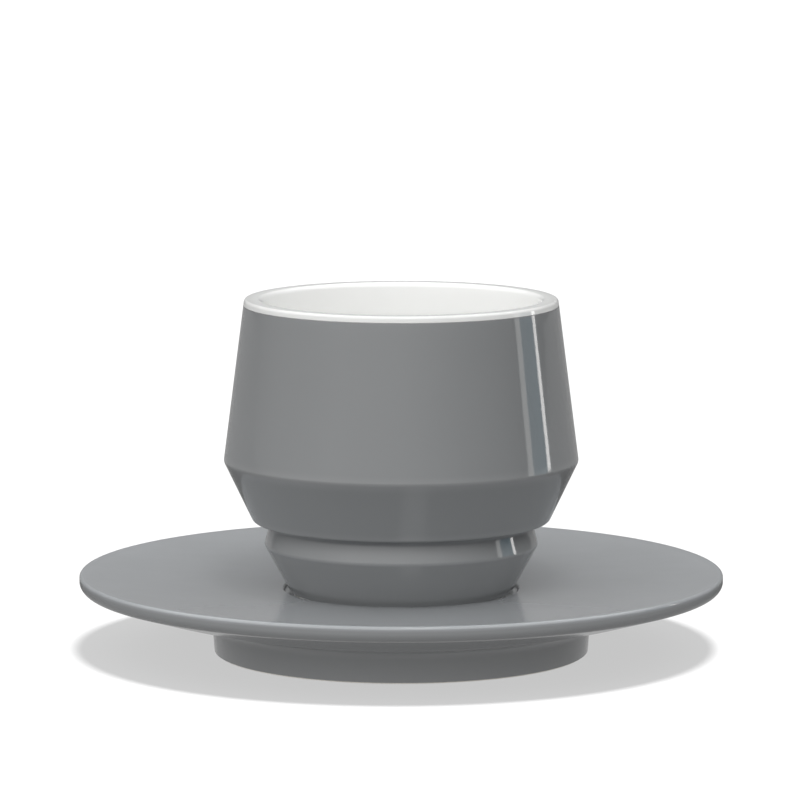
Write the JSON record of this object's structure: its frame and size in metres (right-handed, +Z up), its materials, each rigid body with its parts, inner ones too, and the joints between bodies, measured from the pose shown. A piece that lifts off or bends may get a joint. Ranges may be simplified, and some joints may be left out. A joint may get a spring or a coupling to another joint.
{
  "type": "cup and saucer",
  "caption": "Handle-less angular cup, grey outside and white inside, standing in the shallow well of a broad grey saucer with a foot ring.",
  "frame": {"origin": "centre of the saucer's foot ring, on the plane that it stands on", "axes": "+Z up along the common axis of the cup and the saucer, +X and +Y any two directions square to it"},
  "size_m": [0.16, 0.16, 0.0883],
  "materials": {
    "bare_clay": "unglazed, fine and matt",
    "grey_glaze": "glossy mid-grey glaze",
    "white_glaze": "glossy white glaze"
  },
  "bodies": {
    "saucer": {"saucer_body": "bare_clay", "saucer_glaze": "grey_glaze", "saucer_base_glaze": "grey_glaze"},
    "cup": {"cup_body": "bare_clay", "cup_outer_glaze": "grey_glaze", "cup_inner_glaze": "white_glaze", "cup_base_glaze": "grey_glaze"}
  },
  "joints": [
    {"name": "cup_lift", "type": "slide", "parent": "saucer", "child": "cup", "axis": [0, 0, 1], "range_m": [0, 0.06]}
  ]
}
